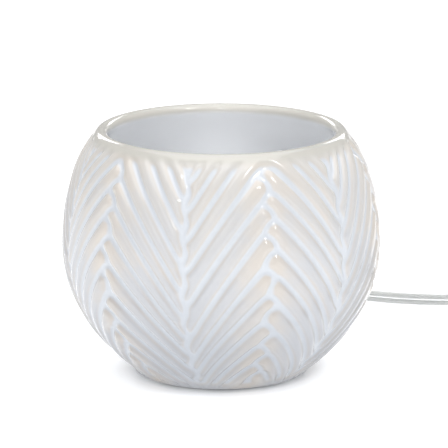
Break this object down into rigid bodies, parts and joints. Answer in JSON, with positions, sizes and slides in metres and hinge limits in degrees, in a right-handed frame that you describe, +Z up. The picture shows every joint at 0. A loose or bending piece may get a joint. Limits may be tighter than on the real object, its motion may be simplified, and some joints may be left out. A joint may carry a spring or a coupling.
{
  "type": "electric wax melt warmer",
  "caption": "Electric wax melt warmer: white glazed ceramic ball carved in a herringbone pattern, open mouth, lift-out dish on a hot plate, flat twin cord with rocker switch and plug",
  "frame": {"origin": "on the table under the middle of the ceramic ball, level with the rubber feet", "axes": "+Z up out of the mouth, +Y to the rear where the cord leaves, +X to the right as seen from the front"},
  "size_m": [0.273, 0.1785, 0.101],
  "materials": {
    "glaze": "gloss white glaze over cream carved bars",
    "dish_glaze": "smooth white glaze",
    "plate_metal": "turned",
    "steel": "zinc plated",
    "brass": "plain",
    "gasket": "silicone, matt",
    "washers": "soft white silicone",
    "element": "unglazed",
    "mica": "pressed sheet",
    "cover": "fine matt",
    "feet": "matt",
    "block": "natural",
    "leads": "silicone sleeve",
    "cord": "clear soft cord sheath",
    "fittings": "white, satin",
    "relief": "soft, clear to white",
    "tie": "soft white strap"
  },
  "bodies": {
    "warmer": {"ceramic_shell": "glaze", "hot_plate": "plate_metal", "plate_gasket": "gasket", "plate_studs": "steel", "stud_washers": "washers", "heater_block": "plate_metal", "heating_element": "element", "heater_tabs": "steel", "mica_disc": "mica", "clamp_spider": "steel", "heat_shield": "steel", "cover_posts": "steel", "base_cover": "cover", "cover_screws": "steel", "rubber_feet": "feet", "terminal_block": "block", "terminal_tubes": "brass", "terminal_screws": "steel", "block_screw": "steel", "thermal_fuse": "steel", "fuse_clip": "steel", "live_lead": "leads", "fuse_link": "leads", "neutral_lead": "leads", "cord_cores": "brass", "cord_inlet": "cord", "strain_relief": "relief", "cord_lead": "cord", "switch_lower": "fittings", "switch_upper": "fittings", "switch_contacts": "brass", "switch_cores": "brass", "switch_screws": "steel", "cord_link": "cord", "cord_coil": "cord", "cord_tie": "tie", "cord_end": "cord", "plug_body": "fittings", "plug_blades": "brass"},
    "dish": {"wax_dish": "dish_glaze"},
    "rocker": {"switch_rocker": "fittings", "contact_bridge": "brass"}
  },
  "joints": [
    {"name": "dish_lift", "type": "slide", "parent": "warmer", "child": "dish", "axis": [0, 0, 1], "range_m": [0, 0.075]},
    {"name": "switch_rock", "type": "hinge", "parent": "warmer", "child": "rocker", "pos_m": [0.14823, 0.0831, 0.011], "axis": [0.262, 0.9651, 0], "range_deg": [0, 20]}
  ]
}
